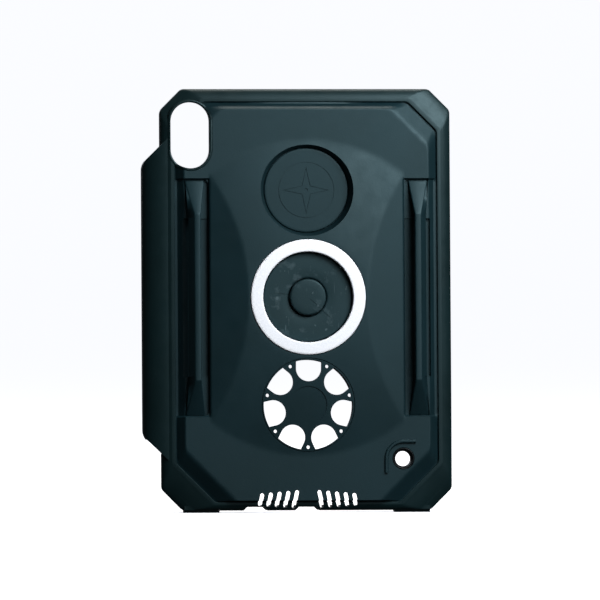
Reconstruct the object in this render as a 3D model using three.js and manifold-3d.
// Rugged cockpit case for an 8.3-inch tablet, empty, standing on its two corner feet.
//
// Every piece is modelled lying on its front face: X runs across the back, Y runs up the case and
// Z is the depth from the front lip (0) to the back. The finished group is then stood upright, with
// its back towards -Y, and leans by the draft of its foot faces, as the real case does on a table.

import * as THREE from 'three';
import { mergeVertices } from 'three/addons/utils/BufferGeometryUtils.js';
import Module from 'manifold-3d';

const wasm = await Module();
wasm.setup();

// ---------------------------------------------------------------- driving dimensions, millimetres

const tablet = { width: 134.8, height: 195.4, thickness: 6.3, cornerLeg: 7 };
const sideWall = 3.9;
const endWall = 5.2;
const bayGap = 0.3;
const seam = 0.3;
const lip = { thickness: 1.8, overlap: 0.8, bevel: 0.5 };
const bodyLeg = 10.5;
const rim = { fromSide: 4.9, fromTop: 4.7, fromBottom: 2.5, topLeg: 15, bottomLeg: 19.8, bulge: 1.4 };
const rimWall = { side: 2.1, top: 1.8, bottom: 1.5, topLeg: 14.2, bottomLeg: 19.2 };
const groove = { side: 0.3, end: 1.4, topLeg: 15.3, bottomLeg: 17.5 };
const plate = { side: 4.0, top: 3.4, bottom: 0.4, topLeg: 18, bottomLeg: 24.3 };
const draft = THREE.MathUtils.degToRad(3.5);

const linerThickness = 0.9;
const widestBehindLiner = 0.2;
const rimBehindLiner = 3.6;
const plateBehindLiner = 6.4;
const domeHeight = 5.1;
const shellWall = 2.0;
const floorWall = 1.5;
const flangeThickness = 1.0;
const ledge = 2.4;
const boreWall = 1.5;

const foot = { height: 1.0, fromSide: 11.1, width: 17.2 };
const mountRise = 0.75;
const ring = { outer: 28.1, inner: 22.1, thickness: 3.0, proud: 0.5, screwShift: 0.4 };
const dome = { flatMargin: 1.0, facetMargin: 0.4, edgeMargin: 1.8 };
const portGap = 1.8;
const grille = { radius: 22.5, flange: 0.9, hub: 9.1, edge: 0.6 };
const petal = { count: 7, radius: 6.2, inset: 4.9, dotInset: 1.9, dotRadius: 0.85 };
const well = { mouthMargin: 0.2, taper: 1.9, coneAbovePlate: 1.2 };
const discThickness = 1.5;
const plug = { sunk: 3.5, bossSunk: 1.3, bossRadius: 8.9, skirt: 2.2, web: 1.8, roof: 2.4 };
const camera = { fromSide: 14.6, fromTop: 22.9, halfWidth: 9.4, halfHeight: 16.2, lining: 1.1 };
const tether = { fromSide: 24.6, fromBottom: 25.0, bore: 3.7, mouth: 5.1 };
const guard = { inner: 7.5, outer: 9.2, height: 1.2, across: 6.0, down: 6.9 };
const trough = { fromSide: 23.3, outerFromSide: 11.4, slit: 0.7, fromEnd: 45.3, slitFromEnd: 64.3 };
const troughEndRise = 0.8;
const rail = { gap: 4.4, crest: 2.8, width: 5.8, overrun: 1.9, rise: 5.8, thickness: 4.0 };
const garage = { fromEnd: 27.9, bite: 2.4, cornerRound: 8, rise: 7.0, roofBehindLiner: 1.1 };
const stylus = { width: 9.3, wall: 1.7, windowHalf: 36 };
const slots = { count: 5, first: 6.2, pitch: 4.2, radius: 1.03, lean: 1.4 };
const slotEnds = { fromBottom: 2.2, length: 6.5, topStep: -0.37, bottomStep: 0.22 };
const port = { halfWidth: 6.2, margin: 0.4 };
const notch = { depth: 1.9, flat: 4.2, mouth: 5.9, second: -25.3 };
const button = { half: 6.2, radius: 2.0, fromSide: 28.3, pitch: 17, sunk: 0.4 };
const buttonFlange = { wider: 0.8, from: 0.7, to: 1.9, room: 1.0 };
const sensorWindow = { fromSide: 38.3, half: 9, radius: 2.3 };
const screw = { head: 1.7, headHeight: 1.1, shank: 1.0, hole: 1.3 };
const railHoleDepth = 3.4;
const washerThickness = 1.2;

const ARC_STEPS = 3;
const ROUND_STEPS = 44;
const SMALL_STEPS = 16;
const BEYOND = 40;

// ------------------------------------------------------------------------------- derived levels

const halfWidth = tablet.width / 2 + sideWall;
const halfHeight = tablet.height / 2 + endWall;
const bayHalfWidth = tablet.width / 2 + bayGap;
const bayHalfHeight = tablet.height / 2 + bayGap;
const linerFront = lip.thickness + tablet.thickness + bayGap;
const linerBack = linerFront + linerThickness;
const widestDepth = linerFront + widestBehindLiner;
const rimDepth = linerFront + rimBehindLiner;
const plateDepth = linerFront + plateBehindLiner;
const shellFloor = linerBack + seam;
const flangeTop = shellFloor + flangeThickness;
const grooveTop = flangeTop + seam;
const domeTop = plateDepth + domeHeight;
const ringFace = domeTop + ring.proud;
const ringBack = ringFace - ring.thickness;
const ringSeat = ringBack - seam;
const plugFace = ringFace - plug.sunk;
const bossFace = ringFace - plug.bossSunk;
const seatWeb = ringSeat - shellWall;
const cupFloor = shellFloor + floorWall;
const troughFloor = shellFloor + floorWall;
const troughEndFloor = troughFloor + troughEndRise;
const wellLedge = shellFloor + flangeThickness;
const discBack = wellLedge + seam;
const discFace = discBack + discThickness;
const portOffset = ring.outer + portGap + grille.radius;
const ventY = mountRise - portOffset;
const wellY = mountRise + portOffset;
const wellMouth = grille.radius + well.mouthMargin;
const wellFloor = wellMouth - well.taper;
const coneTop = plateDepth + well.coneAbovePlate;
const washerTop = seatWeb - seam;
const washerBottom = washerTop - washerThickness;
const ringHeadTop = washerBottom - seam;

// ---------------------------------------------------------------------- where the features stand

const cameraAt = { x: camera.fromSide - halfWidth, y: halfHeight - camera.fromTop };
const tetherAt = { x: halfWidth - tether.fromSide, y: tether.fromBottom - halfHeight };
const footAt = { outer: halfWidth - foot.fromSide, inner: halfWidth - foot.fromSide - foot.width };
const troughAt = {
  inner: halfWidth - trough.fromSide,
  outer: halfWidth - trough.outerFromSide,
  slitOuter: halfWidth - trough.outerFromSide + trough.slit,
  half: halfHeight - trough.fromEnd,
  slitHalf: halfHeight - trough.slitFromEnd,
};
const railAt = {
  inner: troughAt.inner + rail.gap,
  crest: troughAt.inner + rail.gap + rail.crest,
  outer: troughAt.inner + rail.gap + rail.width,
  half: troughAt.slitHalf + rail.overrun,
  top: plateDepth + rail.rise,
};
const railUnderside = railAt.top - rail.thickness;
const domeAt = {
  flat: ring.outer + dome.flatMargin,
  facetFoot: troughAt.inner - dome.facetMargin,
  radius: portOffset + grille.radius + dome.edgeMargin,
};
const channelInner = halfWidth - garage.bite;
const channelOuter = channelInner + stylus.width;
const garageAt = {
  outer: channelOuter + stylus.wall,
  half: halfHeight - garage.fromEnd,
  shoulder: rimDepth - garage.rise,
  roof: linerFront + garage.roofBehindLiner,
};
const buttonAt = {
  volumeDown: halfWidth - button.fromSide,
  volumeUp: halfWidth - button.fromSide - button.pitch,
  depth: lip.thickness + tablet.thickness / 2,
};
const portLow = lip.thickness + port.margin;
const portHigh = linerFront - port.margin / 2;
const ringScrewCircle = (ring.inner + ring.outer) / 2 + ring.screwShift;

// ------------------------------------------------------------------------------- solid helpers

// Any closed three.js geometry as a solid, with the flat triangles at a turning axis left out.
function solid(geometry) {
  const bare = geometry.index ? geometry.toNonIndexed() : geometry.clone();
  bare.deleteAttribute('normal');
  bare.deleteAttribute('uv');
  const merged = mergeVertices(bare, 1e-4);
  const corners = Array.from(merged.index.array);
  const kept = [];
  for (let i = 0; i < corners.length; i += 3) {
    const [a, b, c] = corners.slice(i, i + 3);
    if (a !== b && b !== c && c !== a) kept.push(a, b, c);
  }
  const vertProperties = new Float32Array(merged.attributes.position.array);
  const triVerts = new Uint32Array(kept);
  return new wasm.Manifold(new wasm.Mesh({ numProp: 3, vertProperties, triVerts }));
}

function geometryOf(manifold) {
  const mesh = manifold.getMesh();
  const geometry = new THREE.BufferGeometry();
  geometry.setAttribute('position', new THREE.Float32BufferAttribute(mesh.vertProperties, 3));
  geometry.setIndex(new THREE.Uint32BufferAttribute(mesh.triVerts, 1));
  return geometry;
}

function union(first, ...others) {
  return others.reduce((sum, next) => sum.add(next), first);
}

function without(first, ...others) {
  return others.reduce((rest, next) => rest.subtract(next), first);
}

// A plan outline raised from one depth to another.
function prism(points, low, high) {
  const geometry = new THREE.ExtrudeGeometry(new THREE.Shape(points), {
    depth: high - low,
    bevelEnabled: false,
    curveSegments: 1,
  });
  return solid(geometry.translate(0, 0, low));
}

// A section given as (x, depth), carried along the case from one height to another.
function bar(points, low, high) {
  const geometry = new THREE.ExtrudeGeometry(new THREE.Shape(points), {
    depth: high - low,
    bevelEnabled: false,
    curveSegments: 1,
  });
  return solid(geometry.rotateX(Math.PI / 2).translate(0, high, 0));
}

// A profile of (radius, depth) points turned about an axis square to the back.
function turned(profile, x, y, steps = ROUND_STEPS) {
  const closed = [...profile, profile[0]].map(([radius, depth]) => new THREE.Vector2(radius, depth));
  const geometry = new THREE.LatheGeometry(closed, steps);
  const made = solid(geometry.rotateX(Math.PI / 2).translate(x, y, 0));
  if (made.volume() > 0) return made;
  throw new Error('a turned profile has to run anticlockwise');
}

function disc(radius, low, high, x, y, steps = ROUND_STEPS) {
  return turned([[0, low], [radius, low], [radius, high], [0, high]], x, y, steps);
}

function tube(inner, outer, low, high, x, y, steps = ROUND_STEPS) {
  return turned([[inner, low], [outer, low], [outer, high], [inner, high]], x, y, steps);
}

function block(x0, x1, y0, y1, low, high) {
  const geometry = new THREE.BoxGeometry(x1 - x0, y1 - y0, high - low);
  return solid(geometry.translate((x0 + x1) / 2, (y0 + y1) / 2, (low + high) / 2));
}

// A section given as (depth, height), carried across the case from one side to the other.
function crossbar(points, left, right) {
  const geometry = new THREE.ExtrudeGeometry(new THREE.Shape(points), {
    depth: right - left,
    bevelEnabled: false,
    curveSegments: 1,
  });
  return solid(geometry.rotateY(-Math.PI / 2).translate(right, 0, 0));
}

function mirrored(manifold) {
  return manifold.mirror([1, 0, 0]);
}

function asPoints(pairs) {
  return pairs.map(([x, y]) => new THREE.Vector2(x, y));
}

// A corner of an outline replaced by an arc that is tangent to both of its sides.
function roundedCorner(before, corner, after, radius, steps = ARC_STEPS) {
  const toBefore = before.clone().sub(corner).normalize();
  const toAfter = after.clone().sub(corner).normalize();
  const halfAngle = Math.acos(THREE.MathUtils.clamp(toBefore.dot(toAfter), -1, 1)) / 2;
  const start = corner.clone().addScaledVector(toBefore, radius / Math.tan(halfAngle));
  const middle = toBefore.clone().add(toAfter).normalize();
  const centre = corner.clone().addScaledVector(middle, radius / Math.sin(halfAngle));
  const turn = Math.sign(toBefore.cross(toAfter)) * -(Math.PI - 2 * halfAngle);
  const arm = start.clone().sub(centre);
  return Array.from({ length: steps + 1 }, (_, i) => {
    const angle = (turn * i) / steps;
    return arm.clone().rotateAround(new THREE.Vector2(), angle).add(centre);
  });
}

function rounded(corners, radius, steps = ARC_STEPS) {
  const count = corners.length;
  return corners.flatMap((corner, i) => {
    const before = corners[(i + count - 1) % count];
    const after = corners[(i + 1) % count];
    return roundedCorner(before, corner, after, radius, steps);
  });
}

// A rectangle with four 45-degree corners, anticlockwise, every corner slightly rounded.
function outline({ half, top, bottom = top, topLeg, bottomLeg = topLeg, round = 3 }) {
  const corners = asPoints([
    [-half + bottomLeg, -bottom],
    [half - bottomLeg, -bottom],
    [half, -bottom + bottomLeg],
    [half, top - topLeg],
    [half - topLeg, top],
    [-half + topLeg, top],
    [-half, top - topLeg],
    [-half, -bottom + bottomLeg],
  ]);
  return rounded(corners, round);
}

function grown(size, by) {
  const legShift = by * (2 - Math.SQRT2);
  return {
    half: size.half + by,
    top: size.top + by,
    bottom: (size.bottom ?? size.top) + by,
    topLeg: size.topLeg + legShift,
    bottomLeg: (size.bottomLeg ?? size.topLeg) + legShift,
    round: size.round,
  };
}

// Outlines with equal counts of points, joined band by band and capped at both ends.
function skin(sections) {
  const count = sections[0].points.length;
  const positions = sections.flatMap(({ points, z }) => points.flatMap((p) => [p.x, p.y, z]));
  const index = [];
  for (let band = 0; band < sections.length - 1; band += 1) {
    const here = band * count;
    const next = here + count;
    for (let i = 0; i < count; i += 1) {
      const j = (i + 1) % count;
      index.push(here + i, here + j, next + j, here + i, next + j, next + i);
    }
  }
  const top = (sections.length - 1) * count;
  for (const [a, b, c] of THREE.ShapeUtils.triangulateShape(sections[0].points, [])) {
    index.push(a, c, b);
  }
  for (const [a, b, c] of THREE.ShapeUtils.triangulateShape(sections.at(-1).points, [])) {
    index.push(top + a, top + b, top + c);
  }
  const geometry = new THREE.BufferGeometry();
  geometry.setAttribute('position', new THREE.Float32BufferAttribute(positions, 3));
  geometry.setIndex(index);
  return solid(geometry);
}

// A pill outline between two points.
function pill(from, to, radius, steps = 8) {
  const along = Math.atan2(to.y - from.y, to.x - from.x);
  const arc = (centre, start) => Array.from({ length: steps + 1 }, (_, i) => {
    const angle = start + (Math.PI * i) / steps;
    return new THREE.Vector2(centre.x + radius * Math.cos(angle), centre.y + radius * Math.sin(angle));
  });
  return [...arc(to, along - Math.PI / 2), ...arc(from, along + Math.PI / 2)];
}

function stadium(grow) {
  const reach = camera.halfHeight - camera.halfWidth;
  const low = new THREE.Vector2(cameraAt.x, cameraAt.y - reach);
  const high = new THREE.Vector2(cameraAt.x, cameraAt.y + reach);
  return pill(low, high, camera.halfWidth + grow, 12);
}

// ------------------------------------------------------------------------ outlines of the case

const bodySize = { half: halfWidth, top: halfHeight, topLeg: bodyLeg, round: 4 };
const baySize = { half: bayHalfWidth, top: bayHalfHeight, topLeg: tablet.cornerLeg, round: 4 };
const windowSize = grown(baySize, -lip.overlap - bayGap);
const rimSize = {
  half: halfWidth - rim.fromSide,
  top: halfHeight - rim.fromTop,
  bottom: halfHeight - rim.fromBottom,
  topLeg: rim.topLeg,
  bottomLeg: rim.bottomLeg,
  round: 3,
};
const rimInnerSize = {
  half: rimSize.half - rimWall.side,
  top: rimSize.top - rimWall.top,
  bottom: rimSize.bottom - rimWall.bottom,
  topLeg: rimWall.topLeg,
  bottomLeg: rimWall.bottomLeg,
  round: 3,
};
const grooveSize = {
  half: bayHalfWidth + groove.side,
  top: bayHalfHeight + groove.end,
  topLeg: groove.topLeg,
  bottomLeg: groove.bottomLeg,
  round: 4,
};
const flangeSize = grown(grooveSize, -seam);
const shellFootSize = grown(rimInnerSize, -seam);
const plateSize = {
  half: shellFootSize.half - plate.side,
  top: shellFootSize.top - plate.top,
  bottom: shellFootSize.bottom - plate.bottom,
  topLeg: plate.topLeg,
  bottomLeg: plate.bottomLeg,
  round: 4,
};

// The bumper's outer body as one solid without its bay, kept for whatever sits on it.
function bumperBody(grow) {
  const size = grown(bodySize, grow);
  const frontInset = (widestDepth - 1.2) * Math.tan(draft);
  const flank = {
    half: (size.half + rimSize.half + grow) / 2 + rim.bulge / 2,
    top: (size.top + rimSize.top + grow) / 2 + rim.bulge / 2,
    bottom: (size.bottom + rimSize.bottom + grow) / 2 + rim.bulge / 2,
    topLeg: (size.topLeg + rimSize.topLeg) / 2,
    bottomLeg: (size.bottomLeg + rimSize.bottomLeg) / 2,
    round: 4,
  };
  return [
    { points: outline(grown(size, -frontInset - 1.2)), z: -grow },
    { points: outline(grown(size, -frontInset)), z: 1.2 - grow },
    { points: outline(size), z: widestDepth },
    { points: outline(flank), z: (widestDepth + rimDepth) / 2 + rim.bulge / 4 },
    { points: outline(grown(rimSize, grow)), z: rimDepth + grow },
  ];
}

// ------------------------------------------------------------------- the dome and its two facets

function domeSolid(drop) {
  const rise = (radius) => {
    const share = (radius ** 2 - domeAt.flat ** 2) / (domeAt.radius ** 2 - domeAt.flat ** 2);
    return plateDepth + domeHeight * (1 - share) - drop;
  };
  const steps = 6;
  const arc = Array.from({ length: steps + 1 }, (_, i) => {
    const radius = domeAt.radius + ((domeAt.flat - domeAt.radius) * i) / steps;
    return [radius, rise(radius)];
  });
  const base = plateDepth - drop - 3;
  const cap = turned([[0, base], [domeAt.radius, base], ...arc, [0, domeTop - drop]], 0, mountRise, 60);
  const facets = asPoints([
    [-domeAt.facetFoot, base - 1],
    [domeAt.facetFoot, base - 1],
    [domeAt.facetFoot, plateDepth - drop],
    [domeAt.flat, domeTop - drop],
    [-domeAt.flat, domeTop - drop],
    [-domeAt.facetFoot, plateDepth - drop],
  ]);
  return cap.intersect(bar(facets, mountRise - BEYOND * 3, mountRise + BEYOND * 3));
}

// Everything under the back's surface when that surface is lowered by a distance.
function underSurface(drop) {
  const slab = block(-halfWidth, halfWidth, -halfHeight, halfHeight, -5, plateDepth - drop);
  return slab.add(domeSolid(drop));
}

// --------------------------------------------------------------------------- shared cut shapes

function slotCuts() {
  const cuts = [];
  for (const side of [-1, 1]) {
    for (let i = 0; i < slots.count; i += 1) {
      const x = slots.first + slots.pitch * i;
      const shift = slots.lean * (1 - i / (2 * slots.count));
      const end = slotEnds.fromBottom - halfHeight;
      const high = new THREE.Vector2(side * (x - shift / 2), end + slotEnds.length + slotEnds.topStep * i);
      const low = new THREE.Vector2(side * (x + shift / 2), end + slotEnds.bottomStep * i);
      cuts.push(prism(pill(low, high, slots.radius, 5), -5, BEYOND));
    }
  }
  return union(...cuts);
}

// The open pocket behind both rows of slots, reaching into the bay.
function scoop(bottom, low, high) {
  const reach = slots.first + slots.pitch * (slots.count - 1) + slots.lean + slots.radius;
  return block(-reach, reach, bottom, -bayHalfHeight + 5, low, high);
}

function notchCut(x) {
  const corners = asPoints([
    [x - notch.mouth - 1, -halfHeight - 1],
    [x + notch.mouth + 1, -halfHeight - 1],
    [x + notch.flat, -halfHeight + notch.depth],
    [x - notch.flat, -halfHeight + notch.depth],
  ]);
  return prism(corners, -5, BEYOND);
}

function keyPill(x, half, radius) {
  const reach = half - radius;
  const from = new THREE.Vector2(x - reach, buttonAt.depth);
  const to = new THREE.Vector2(x + reach, buttonAt.depth);
  return pill(from, to, radius, 6);
}

const slotSolid = slotCuts();

// ------------------------------------------------------------------------------------- bumper
// One soft elastomer moulding. Its lip holds the tablet's front edge, a groove behind the bay takes
// the shell's flange, and a narrow rim closes over that flange.

function bumperFrame() {
  const frame = without(
    skin(bumperBody(0)),
    skin([
      { points: outline(grown(windowSize, lip.bevel + 1)), z: -1 },
      { points: outline(windowSize), z: lip.bevel },
      { points: outline(windowSize), z: BEYOND },
    ]),
    prism(outline(baySize), lip.thickness, linerBack),
    prism(outline(grooveSize), linerBack, grooveTop),
    prism(outline(rimInnerSize), linerBack, BEYOND),
  );
  const soleRise = (widestDepth - 1.2) * Math.tan(draft);
  const sole = asPoints([
    [1.2, -halfHeight - foot.height + soleRise],
    [widestDepth, -halfHeight - foot.height],
    [widestDepth + 1.6, -halfHeight + 0.4],
    [widestDepth + 1.6, -halfHeight + 2.2],
    [1.2, -halfHeight + 2.2],
  ].reverse());
  const feet = [crossbar(sole, footAt.inner, footAt.outer), crossbar(sole, -footAt.outer, -footAt.inner)];
  const channel = block(-channelOuter, -channelInner, -garageAt.half, garageAt.half, -1, garageAt.roof);
  const window = stylus.windowHalf;
  const charging = block(-halfWidth, 1 - bayHalfWidth, -window, window, portLow, portHigh - 0.2);
  const plugHalf = port.halfWidth;
  const portCut = block(-plugHalf, plugHalf, -halfHeight - 1, 1 - bayHalfHeight, portLow, portHigh);
  const inside = bayHalfHeight - 1;
  const pocket = buttonFlange.room + seam;
  const pocketEnd = bayHalfHeight + buttonFlange.to + seam;
  const keyCuts = [buttonAt.volumeUp, buttonAt.volumeDown].flatMap((x) => [
    bar(keyPill(x, button.half + seam, button.radius + seam), inside, halfHeight + 1),
    bar(keyPill(x, button.half + pocket, button.radius + pocket), inside, pocketEnd),
  ]);
  const sensorPill = keyPill(sensorWindow.fromSide - halfWidth, sensorWindow.half, sensorWindow.radius);
  const sensor = bar(sensorPill, inside, halfHeight + 1);
  const cameraCorner = block(-halfWidth, 0, 0, halfHeight, linerFront, BEYOND);
  return without(
    union(frame, ...feet),
    channel,
    charging,
    scoop(-halfHeight + notch.depth + 0.8, -1, flangeTop - 0.7),
    portCut,
    notchCut(0),
    notchCut(notch.second),
    ...keyCuts,
    sensor,
    slotSolid,
    prism(stadium(camera.lining + seam), -5, BEYOND).intersect(cameraCorner),
  );
}

// ------------------------------------------------------------------------------ stylus garage
// A long hood of the same elastomer on the left edge. It covers the flank up to the rim and stands
// out far enough to shelter a round stylus in a channel that opens to the front.

function stylusGarage() {
  const edge = -rimSize.half - seam;
  const straight = garageAt.half - (garageAt.outer - halfWidth);
  const flankHalf = garageAt.half + halfWidth + edge;
  const corners = asPoints([
    [-garageAt.outer, straight],
    [-garageAt.outer, -straight],
    [-halfWidth, -garageAt.half],
    [edge, -flankHalf],
    [edge + 2, -flankHalf],
    [edge + 2, flankHalf],
    [edge, flankHalf],
    [-halfWidth, garageAt.half],
  ]);
  const plan = corners.flatMap((corner, i) => {
    if (i > 1) return [corner];
    const before = corners[(i + corners.length - 1) % corners.length];
    return roundedCorner(before, corner, corners[i + 1], garage.cornerRound, 6);
  });
  const outer = prism(plan, -1, BEYOND).intersect(hoodBar(0));
  const seat = skin(bumperBody(seam));
  const ends = garageAt.half + channelOuter - channelInner;
  const channel = block(-channelOuter, -channelInner + 1, -ends, ends, -1, garageAt.roof);
  return without(outer, seat, channel.intersect(hoodBar(stylus.wall)));
}

// The hood's section, a quarter of an ellipse over a straight outer wall, shrunk by an inset.
function hoodBar(inset) {
  const edge = -rimSize.half - seam;
  const reach = garageAt.outer + edge - inset;
  const climb = rimDepth - garageAt.shoulder - inset;
  const steps = 10;
  const arch = Array.from({ length: steps + 1 }, (_, i) => {
    const angle = (Math.PI / 2) * (i / steps);
    return [edge - reach * Math.sin(angle), garageAt.shoulder + climb * Math.cos(angle)];
  });
  const mouth = [[edge - reach, -1], [edge, -1]];
  const bevelled = [[edge - reach, 1.3], [edge - reach + 1, 0.3], [edge, 0.3]];
  const front = inset > 0 ? mouth : bevelled;
  return bar(asPoints([...arch, ...front]), -halfHeight, halfHeight);
}

// --------------------------------------------------------------------------------- back shell
// A hard injection moulding: a flange in the bumper's groove, a sloped wall up to the raised panel,
// and the hourglass dome that carries the mount ring between two round ports.

const shellSections = [
  { points: outline(shellFootSize), z: shellFloor },
  { points: outline(shellFootSize), z: flangeTop },
  { points: outline(plateSize), z: plateDepth },
];

function shellOuter() {
  const flange = skin([
    { points: outline(flangeSize), z: shellFloor },
    { points: outline(flangeSize), z: flangeTop },
  ]);
  return union(flange, skin(shellSections), domeSolid(0));
}

function troughCut(side) {
  const ends = troughAt.half;
  const slit = troughAt.slitHalf;
  const corners = asPoints([
    [troughAt.inner, mountRise - ends + 3],
    [troughAt.inner + 2, mountRise - ends],
    [troughAt.outer, mountRise - ends],
    [railAt.outer + seam, mountRise - slit],
    [troughAt.slitOuter, mountRise - slit],
    [troughAt.slitOuter, mountRise + slit],
    [railAt.outer + seam, mountRise + slit],
    [troughAt.outer, mountRise + ends],
    [troughAt.inner + 2, mountRise + ends],
    [troughAt.inner, mountRise + ends - 3],
  ]);
  const { inner, slitOuter } = troughAt;
  const high = prism(corners, troughEndFloor, BEYOND);
  const low = block(inner, slitOuter, mountRise - slit, mountRise + slit, troughFloor, BEYOND);
  const cut = high.add(low);
  return side > 0 ? cut : mirrored(cut);
}

function guardRib() {
  const arcPoints = (radius) => Array.from({ length: 9 }, (_, i) => {
    const angle = Math.PI / 2 + (Math.PI / 2) * (i / 8);
    const x = tetherAt.x + radius * Math.cos(angle);
    return new THREE.Vector2(x, tetherAt.y + radius * Math.sin(angle));
  });
  const outerArc = arcPoints(guard.outer);
  const innerArc = arcPoints(guard.inner).reverse();
  const middle = (guard.outer + guard.inner) / 2;
  const acrossTip = new THREE.Vector2(tetherAt.x + guard.across, tetherAt.y + middle);
  const downTip = new THREE.Vector2(tetherAt.x - middle, tetherAt.y - guard.down);
  return prism([acrossTip, ...outerArc, downTip, ...innerArc], plateDepth - 1, plateDepth + guard.height);
}

function wellWall(grow, low) {
  return turned([
    [0, low],
    [wellFloor + grow, low],
    [wellFloor + grow, discFace],
    [wellMouth + grow, coneTop],
    [wellMouth + grow, BEYOND],
    [0, BEYOND],
  ], 0, wellY);
}

function backShell() {
  const outer = shellOuter();
  const cavityFoot = grown(shellFootSize, -ledge);
  const cavity = union(
    skin([
      { points: outline(cavityFoot), z: shellFloor - 1 },
      { points: outline(cavityFoot), z: flangeTop },
      { points: outline(grown(plateSize, -ledge)), z: plateDepth - shellWall },
    ]),
    domeSolid(shellWall),
  );
  const walled = troughAt.half + boreWall;
  const from = troughAt.inner - boreWall;
  const to = troughAt.slitOuter + boreWall;
  const troughWalls = [[from, to], [-to, -from]].map(([left, right]) => (
    block(left, right, mountRise - walled, mountRise + walled, shellFloor, BEYOND)
  ));
  const inside = union(
    disc(ring.inner + boreWall, shellFloor, BEYOND, 0, mountRise),
    disc(ring.outer + boreWall, seatWeb, BEYOND, 0, mountRise),
    wellWall(boreWall, shellFloor),
    tube(petal.radius, grille.radius + boreWall, plateDepth - 3.2, BEYOND, 0, ventY),
    disc(tether.mouth + shellWall, shellFloor, BEYOND, tetherAt.x, tetherAt.y, SMALL_STEPS),
    prism(stadium(camera.lining + shellWall), shellFloor, BEYOND),
    ...troughWalls,
  ).intersect(outer);
  const ventTop = underSurface(grille.flange + seam);
  return without(
    union(outer.subtract(cavity), inside, guardRib()),
    disc(ring.outer + seam, ringSeat, BEYOND, 0, mountRise),
    disc(ring.inner + seam, cupFloor, BEYOND, 0, mountRise),
    ...screwPlaces().map(({ x, y }) => disc(screw.hole, seatWeb - 1, BEYOND, x, y, SMALL_STEPS)),
    wellWall(0, wellLedge),
    disc(wellFloor - 2, shellFloor - 1, BEYOND, 0, wellY),
    disc(grille.radius + seam, plateDepth - 5, BEYOND, 0, ventY).subtract(ventTop),
    disc(grille.radius - grille.flange + seam, shellFloor - 1, BEYOND, 0, ventY),
    disc(tether.mouth + seam, shellFloor - 1, BEYOND, tetherAt.x, tetherAt.y, SMALL_STEPS),
    prism(stadium(camera.lining + seam), shellFloor - 1, BEYOND),
    troughCut(1),
    troughCut(-1),
    ...railScrewPlaces().flatMap(({ x, y }) => [
      disc(screw.hole, shellFloor - 1, BEYOND, x, y, SMALL_STEPS),
      disc(screw.head + seam, shellFloor - 1, shellFloor + screw.headHeight, x, y, SMALL_STEPS),
    ]),
    scoop(-bayHalfHeight, shellFloor - 1, plateDepth - shellWall),
    slotSolid,
  );
}

// ------------------------------------------------------------------------------ strap rails
// A bar on each side with a ramp at both ends, so that a strap slides under it without catching.

function strapRail(side) {
  const toeInner = troughAt.inner + 2.0;
  const toe = troughAt.half - seam;
  const corners = asPoints([
    [railAt.inner, mountRise - railAt.half],
    [toeInner, mountRise - toe],
    [troughAt.outer - 0.6, mountRise - toe],
    [railAt.outer, mountRise - troughAt.slitHalf - 1],
    [railAt.outer, mountRise + troughAt.slitHalf + 1],
    [troughAt.outer - 0.6, mountRise + toe],
    [toeInner, mountRise + toe],
    [railAt.inner, mountRise + railAt.half],
  ]);
  const bottom = troughEndFloor + seam;
  const toeDepth = bottom + 0.6;
  const profile = asPoints([
    [bottom, mountRise - toe - 1],
    [toeDepth, mountRise - toe],
    [railAt.top, mountRise - railAt.half],
    [railAt.top, mountRise + railAt.half],
    [toeDepth, mountRise + toe],
    [bottom, mountRise + toe + 1],
  ].reverse());
  const crown = asPoints([
    [troughAt.inner, bottom],
    [railAt.outer + 1.6, bottom],
    [railAt.outer, railUnderside],
    [railAt.crest, railAt.top],
    [railAt.inner + 0.5, railAt.top],
    [railAt.inner, railAt.top - 0.5],
    [troughAt.inner, railAt.top - 0.5],
  ]);
  const left = troughAt.inner - 1;
  const right = troughAt.slitOuter + 1;
  const span = troughAt.slitHalf;
  const passage = block(left, right, mountRise - span, mountRise + span, 0, railUnderside);
  const made = prism(corners, bottom, railAt.top)
    .intersect(crossbar(profile, left, right))
    .intersect(bar(crown, mountRise - BEYOND * 2, mountRise + BEYOND * 2))
    .subtract(passage);
  const holes = railScrewPlaces().map(({ x, y }) => (
    disc(screw.hole, bottom - 1, bottom + railHoleDepth, Math.abs(x), y, SMALL_STEPS)
  ));
  const drilled = without(made, ...holes);
  return side > 0 ? drilled : mirrored(drilled);
}

function railScrewPlaces() {
  const x = (railAt.inner + railAt.outer) / 2;
  const y = troughAt.slitHalf + 4.5;
  return [[-x, y], [-x, -y], [x, y], [x, -y]].map(([px, py]) => ({ x: px, y: mountRise + py }));
}

function screwPlaces() {
  const reach = ringScrewCircle * Math.SQRT1_2;
  const corners = [[-1, 1], [1, 1], [1, -1], [-1, -1]];
  return corners.map(([sx, sy]) => ({ x: sx * reach, y: mountRise + sy * reach }));
}

function screwSolid(headBottom, shankTop, x, y) {
  return turned([
    [0, headBottom],
    [screw.head, headBottom],
    [screw.head, headBottom + screw.headHeight],
    [screw.shank, headBottom + screw.headHeight],
    [screw.shank, shankTop],
    [0, shankTop],
  ], x, y, SMALL_STEPS);
}

// ------------------------------------------------------------------------- mount ring and plug

function mountRing() {
  const body = turned([
    [ring.inner, ringBack],
    [ring.outer, ringBack],
    [ring.outer, ringFace - 0.4],
    [ring.outer - 0.4, ringFace],
    [ring.inner + 0.3, ringFace],
    [ring.inner, ringFace - 0.3],
  ], 0, mountRise);
  const holes = screwPlaces().map(({ x, y }) => (
    disc(screw.hole, ringBack - 1, ringFace - 0.7, x, y, SMALL_STEPS)
  ));
  return without(body, ...holes);
}

function ringBackplate() {
  const inner = ring.inner + boreWall + seam;
  const body = tube(inner, ring.outer - 0.5, washerBottom, washerTop, 0, mountRise);
  const holes = screwPlaces().map(({ x, y }) => disc(screw.hole, 0, BEYOND, x, y, SMALL_STEPS));
  return without(body, ...holes);
}

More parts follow.
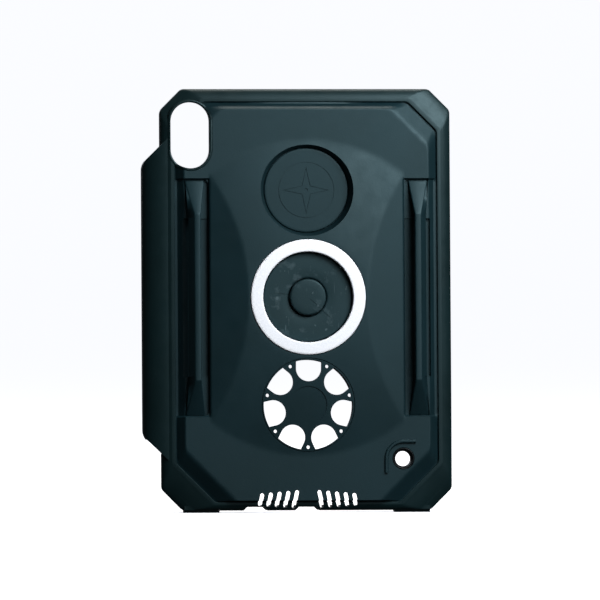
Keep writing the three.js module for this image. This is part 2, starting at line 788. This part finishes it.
function mountPlug() {
  const bottom = cupFloor + seam;
  const outer = ring.inner - seam;
  const bore = plug.bossRadius + seam;
  return turned([
    [outer - plug.skirt, bottom],
    [outer, bottom],
    [outer, plugFace - 0.4],
    [outer - 0.4, plugFace],
    [bore, plugFace],
    [bore, bottom + plug.web],
    [bore + plug.skirt, bottom + plug.web],
    [bore + plug.skirt, plugFace - plug.roof],
    [outer - plug.skirt, plugFace - plug.roof],
  ], 0, mountRise);
}

function plugGripBoss() {
  const bottom = cupFloor + seam;
  const rootRadius = plug.bossRadius + 1.6;
  return turned([
    [0, bottom],
    [rootRadius, bottom],
    [rootRadius, bottom + plug.web - seam],
    [plug.bossRadius, bottom + plug.web - seam],
    [plug.bossRadius, bossFace - 0.5],
    [plug.bossRadius - 0.5, bossFace],
    [0, bossFace],
  ], 0, mountRise);
}

// ---------------------------------------------------------------------- grille and blank disc

function ventGrille() {
  const plain = (radius) => disc(radius, 0, BEYOND, 0, ventY).intersect(underSurface(0));
  const flangePart = plain(grille.radius).subtract(underSurface(grille.flange));
  const body = plain(grille.radius - grille.flange).subtract(underSurface(shellWall));
  const hub = plain(grille.hub).subtract(underSurface(0.5));
  const within = disc(grille.radius - grille.edge, -5, BEYOND, 0, ventY);
  const petalAt = grille.radius - petal.inset;
  const onCircle = (angle, radius) => (
    new THREE.Vector2(radius * Math.cos(angle), ventY + radius * Math.sin(angle))
  );
  const cuts = Array.from({ length: petal.count }, (_, i) => {
    const angle = Math.PI / 2 + (2 * Math.PI * i) / petal.count;
    const from = onCircle(angle, petalAt);
    const to = onCircle(angle, petalAt + petal.radius * 2);
    const dot = onCircle(angle + Math.PI / petal.count, grille.radius - petal.dotInset);
    const opening = prism(pill(from, to, petal.radius, 10), -5, BEYOND).intersect(within);
    return opening.add(disc(petal.dotRadius, -5, BEYOND, dot.x, dot.y, 10));
  });
  return without(flangePart.add(body), hub, ...cuts);
}

function blankDisc() {
  return turned([
    [0, discBack],
    [wellFloor - seam, discBack],
    [wellFloor - seam, discFace - 0.3],
    [wellFloor - seam - 0.3, discFace],
    [0, discFace],
  ], 0, wellY);
}

// ----------------------------------------------------------------------------- small fittings

function cameraSurround() {
  const lining = prism(stadium(camera.lining), shellFloor, BEYOND).subtract(prism(stadium(0), 0, BEYOND));
  const surface = union(skin(bumperBody(0)), skin(shellSections));
  return lining.intersect(surface);
}

function tetherEyelet() {
  return turned([
    [tether.bore, shellFloor],
    [tether.mouth, shellFloor],
    [tether.mouth, plateDepth],
    [tether.mouth - 0.3, plateDepth],
    [tether.bore, plateDepth - 2.4],
  ], tetherAt.x, tetherAt.y, 32);
}

function innerLiner() {
  const sheet = skin([
    { points: outline(grown(baySize, -0.6)), z: linerFront },
    { points: outline(grown(baySize, -0.6)), z: linerBack },
  ]);
  return without(
    sheet,
    disc(grille.radius + 2, 0, BEYOND, 0, ventY),
    disc(tether.mouth, 0, BEYOND, tetherAt.x, tetherAt.y, SMALL_STEPS),
    prism(stadium(camera.lining + seam), 0, BEYOND),
    block(-halfWidth, cameraAt.x, cameraAt.y, halfHeight, 0, BEYOND),
    scoop(-halfHeight, 0, BEYOND),
  );
}

function keyPad(x) {
  const from = bayHalfHeight + buttonFlange.from;
  const wider = buttonFlange.wider;
  const pad = bar(keyPill(x, button.half, button.radius), from, halfHeight - button.sunk);
  const flangePill = keyPill(x, button.half + wider, button.radius + wider);
  return pad.add(bar(flangePill, from, bayHalfHeight + buttonFlange.to));
}

// ----------------------------------------------------------------------------------- assembly

const softBlack = { color: '#1c2a2c', roughness: 0.62, metalness: 0 };
const hardBlack = { color: '#22333a', roughness: 0.5, metalness: 0 };
const rubberBlack = { color: '#26353a', roughness: 0.8, metalness: 0 };
const brightMetal = { color: '#dfe2e8', roughness: 0.35, metalness: 1 };
const steel = { color: '#8b9094', roughness: 0.4, metalness: 1 };
const suede = { color: '#2c3033', roughness: 0.95, metalness: 0 };

const lying = new THREE.Group();

function addPiece(name, manifold, finish) {
  const mesh = new THREE.Mesh(geometryOf(manifold), new THREE.MeshStandardMaterial(finish));
  mesh.name = name;
  lying.add(mesh);
}

addPiece('bumper_frame', bumperFrame(), softBlack);
addPiece('stylus_garage', stylusGarage(), softBlack);
addPiece('back_shell', backShell(), hardBlack);
addPiece('inner_liner', innerLiner(), suede);
addPiece('mount_ring', mountRing(), brightMetal);
addPiece('ring_backplate', ringBackplate(), steel);
addPiece('mount_plug', mountPlug(), rubberBlack);
addPiece('plug_grip_boss', plugGripBoss(), rubberBlack);
addPiece('vent_grille', ventGrille(), hardBlack);
addPiece('blank_disc', blankDisc(), hardBlack);
addPiece('strap_rail_left', strapRail(-1), hardBlack);
addPiece('strap_rail_right', strapRail(1), hardBlack);
addPiece('camera_surround', cameraSurround(), softBlack);
addPiece('tether_eyelet', tetherEyelet(), steel);
addPiece('volume_up_button', keyPad(buttonAt.volumeUp), hardBlack);
addPiece('volume_down_button', keyPad(buttonAt.volumeDown), hardBlack);

screwPlaces().forEach(({ x, y }, i) => {
  const head = ringHeadTop - screw.headHeight;
  addPiece(`mount_ring_screw_${i + 1}`, screwSolid(head, ringFace - 1.0, x, y), steel);
});

const railScrewNames = ['left_upper', 'left_lower', 'right_upper', 'right_lower'];
railScrewPlaces().forEach(({ x, y }, i) => {
  const shankTop = troughEndFloor + railHoleDepth;
  addPiece(`strap_rail_screw_${railScrewNames[i]}`, screwSolid(shellFloor, shankTop, x, y), steel);
});

// Stood on its feet: leaning by the draft of the soles, origin under the middle of its footprint.
const standing = new THREE.Group();
standing.rotation.x = Math.PI / 2 - draft;
standing.add(lying);
standing.updateMatrixWorld(true);
const extent = new THREE.Box3().setFromObject(standing, true);
const middle = extent.getCenter(new THREE.Vector3());
standing.position.set(-middle.x, -middle.y, -extent.min.z);

const tabletCase = new THREE.Group();
tabletCase.add(standing);

export default tabletCase;
